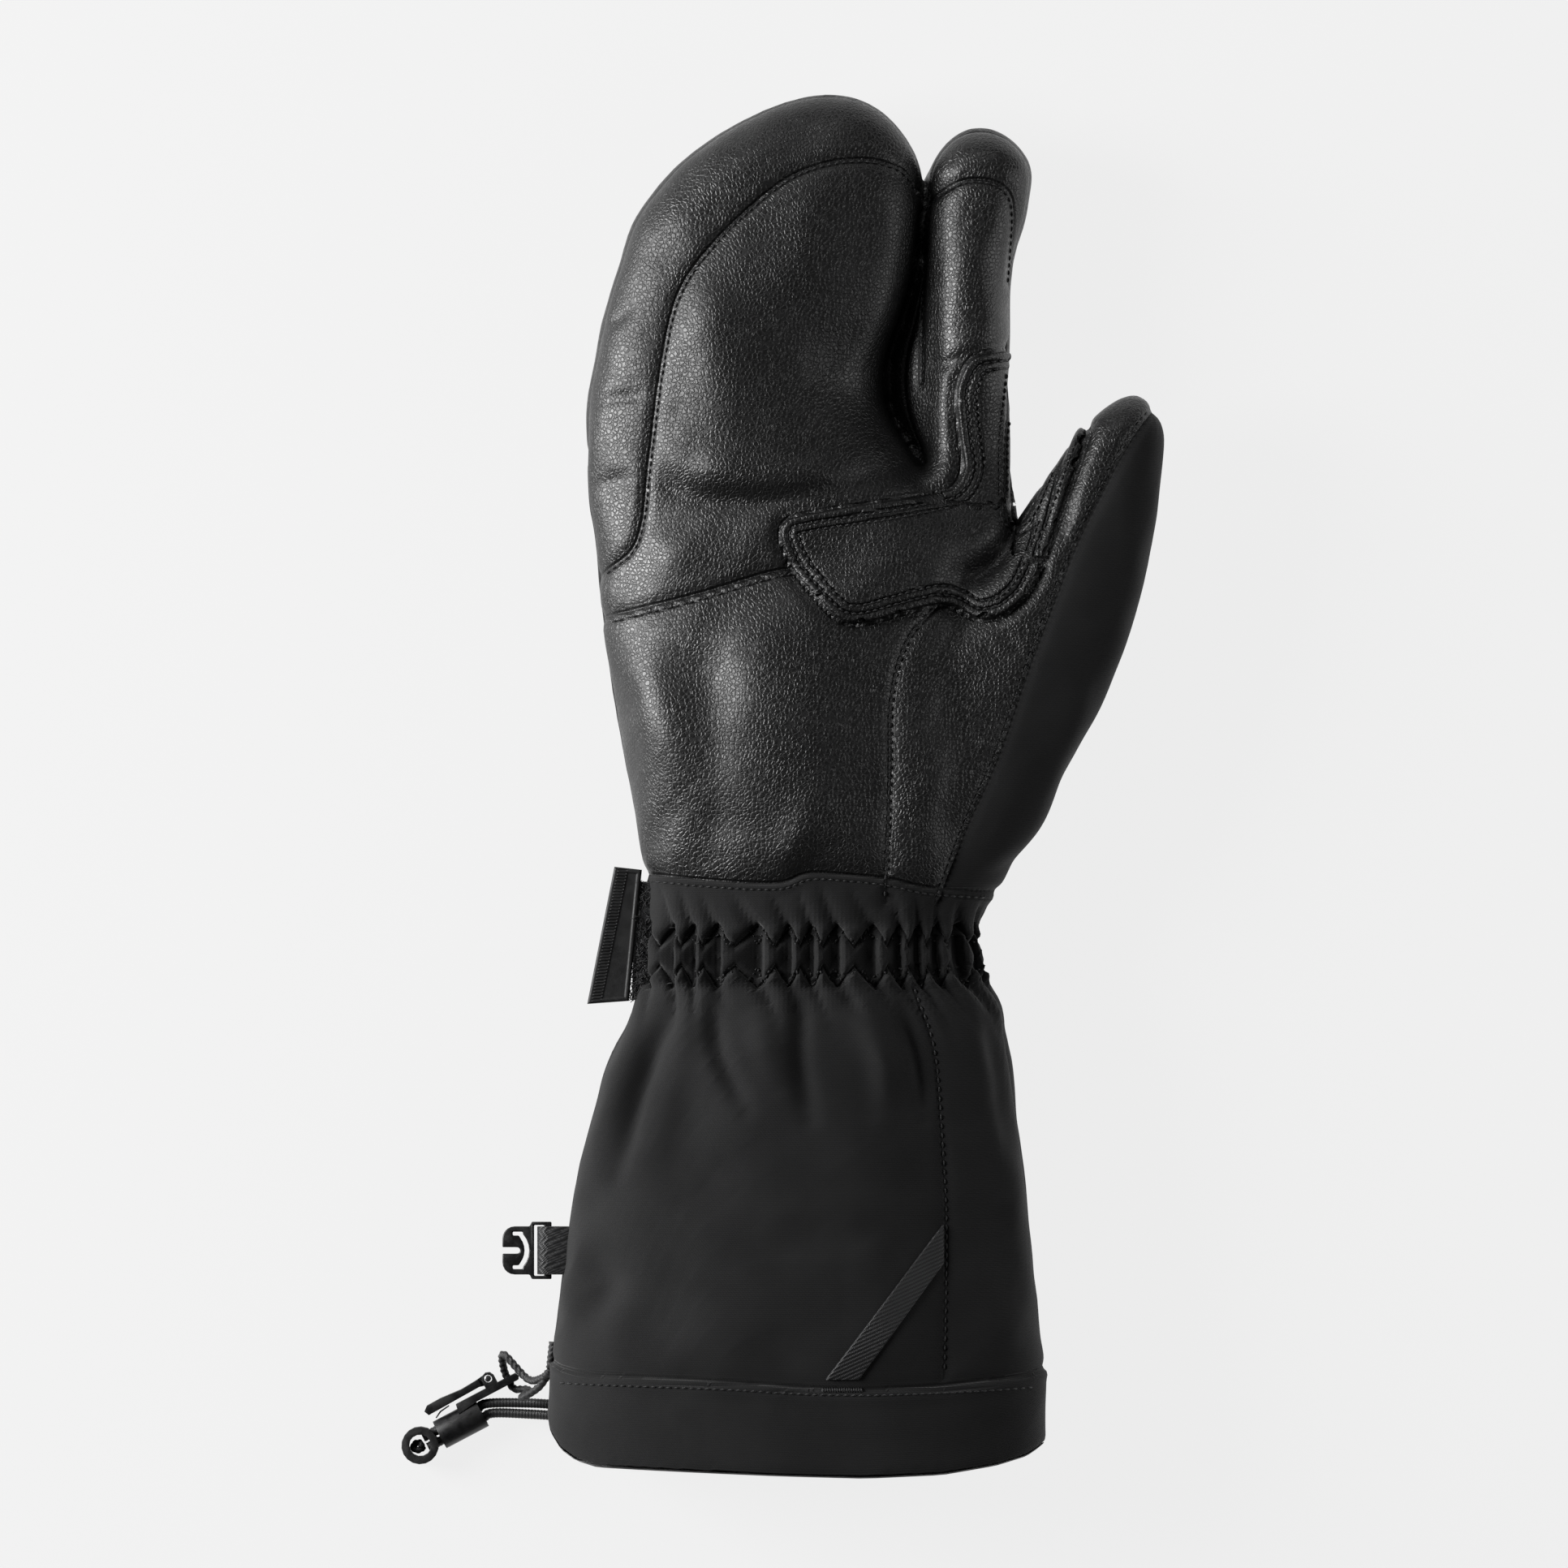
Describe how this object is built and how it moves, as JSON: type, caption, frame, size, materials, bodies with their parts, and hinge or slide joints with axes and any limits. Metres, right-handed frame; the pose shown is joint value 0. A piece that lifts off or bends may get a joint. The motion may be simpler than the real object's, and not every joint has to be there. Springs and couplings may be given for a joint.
{
  "type": "ski glove",
  "caption": "Three-finger gauntlet ski mitt for the right hand with a separate index finger, padded shell, shirred wrist, strap tab, clip and drawcord lock.",
  "frame": {"origin": "bottom centre of the glove's box without its loose cords, with the glove lying on its back", "axes": "+X towards the thumb, +Y towards the fingertips, +Z out of the palm"},
  "size_m": [0.1994, 0.3606, 0.0627],
  "materials": {
    "leather": "satin",
    "overlay_leather": "satin",
    "softshell": "matte",
    "wadding": "matte",
    "fleece_lining": "matte",
    "webbing": "matte",
    "moulded_plastic": "satin",
    "moulded_rubber": "satin",
    "elastic_cord": "matte",
    "spring_steel": "brushed"
  },
  "bodies": {
    "gauntlet": {"gauntlet_palm_panel": "softshell", "gauntlet_side_panel": "softshell", "gauntlet_back_panel": "softshell", "hem_band_palm": "softshell", "hem_band_back": "softshell", "gauntlet_lining": "fleece_lining", "cuff_palm_fabric": "softshell", "cuff_back_fabric": "softshell", "wrist_elastic": "webbing", "wrist_lining": "fleece_lining", "wrist_strap": "webbing", "strap_loop_strip": "webbing", "ribbon_pull": "webbing", "clip_webbing_loop": "webbing", "hem_drawcord": "elastic_cord", "drawcord_end_upper": "elastic_cord", "drawcord_end_lower": "elastic_cord", "tether_cord": "elastic_cord", "tether_tack": "elastic_cord", "cord_end": "moulded_rubber", "cord_knot": "elastic_cord"},
    "hand": {"palm_heel_leather": "leather", "upper_palm_leather": "leather", "thumb_gusset_leather": "leather", "hand_side_fabric": "softshell", "hand_back_fabric": "softshell", "knuckle_leather": "leather", "knuckle_back_fabric": "softshell", "thumb_base_leather": "leather", "thumb_base_fabric": "softshell", "grip_patch_palm": "overlay_leather", "grip_patch_crotch": "overlay_leather", "grip_patch_thumb_base": "overlay_leather", "hand_insulation": "wadding", "hand_lining": "fleece_lining"},
    "fingers": {"mitt_palm_leather": "leather", "mitt_sidewall_leather": "leather", "mitt_back_leather": "leather", "mitt_insulation": "wadding", "mitt_lining": "fleece_lining"},
    "index": {"index_palm_leather": "leather", "index_sidewall_leather": "leather", "index_back_leather": "leather", "grip_patch_index": "overlay_leather", "index_insulation": "wadding", "index_lining": "fleece_lining"},
    "thumb": {"thumb_palm_leather": "leather", "thumb_back_fabric": "softshell", "grip_patch_thumb": "overlay_leather", "thumb_insulation": "wadding", "thumb_lining": "fleece_lining"},
    "strap_tab": {"strap_tab": "moulded_rubber", "strap_hook_patch": "webbing"},
    "clip": {"clip_hook": "moulded_plastic"},
    "cord_lock": {"cord_lock_body": "moulded_plastic", "cord_lock_pin": "spring_steel", "cord_lock_spring": "spring_steel"},
    "lock_lever": {"cord_lock_lever": "moulded_plastic"}
  },
  "joints": [
    {"name": "wrist_flex", "type": "hinge", "parent": "gauntlet", "child": "hand", "pos_m": [-0.00535, -0.04505, 0.028], "axis": [1, 0, 0], "range_deg": [0, 50], "deforming": ["cuff_palm_fabric", "cuff_back_fabric", "wrist_elastic", "wrist_lining"]},
    {"name": "finger_flex", "type": "hinge", "parent": "hand", "child": "fingers", "pos_m": [-0.00535, 0.07345, 0.022], "axis": [1, 0, 0], "range_deg": [0, 55], "deforming": ["knuckle_leather", "knuckle_back_fabric", "grip_patch_crotch"]},
    {"name": "index_flex", "type": "hinge", "parent": "hand", "child": "index", "pos_m": [-0.00535, 0.07345, 0.022], "axis": [1, 0, 0], "range_deg": [0, 55]},
    {"name": "thumb_flex", "type": "hinge", "parent": "hand", "child": "thumb", "pos_m": [0.06065, 0.04895, 0.028], "axis": [0.927, -0.375, 0], "range_deg": [0, 35], "deforming": ["thumb_base_leather", "thumb_base_fabric", "grip_patch_thumb_base"]},
    {"name": "tab_peel", "type": "hinge", "parent": "gauntlet", "child": "strap_tab", "pos_m": [-0.05149, -0.04005, 0.0332], "axis": [0.0986, 0.9951, 0], "range_deg": [0, 90]},
    {"name": "clip_swing", "type": "hinge", "parent": "gauntlet", "child": "clip", "pos_m": [-0.07435, -0.12205, 0.031], "axis": [0, 1, 0], "range_deg": [-80, 80]},
    {"name": "lock_slide", "type": "slide", "parent": "gauntlet", "child": "cord_lock", "axis": [0.8846, 0.4664, 0], "range_m": [0, 0.008], "deforming": ["tether_cord", "drawcord_end_upper", "drawcord_end_lower"]},
    {"name": "lever_press", "type": "hinge", "parent": "cord_lock", "child": "lock_lever", "pos_m": [-0.09046, -0.1565, 0.0043], "axis": [0, 0, 1], "range_deg": [0, 5], "stiffness_Nm_per_rad": 0.2, "springref_deg": -4.58, "deforming": ["cord_lock_spring"]}
  ]
}
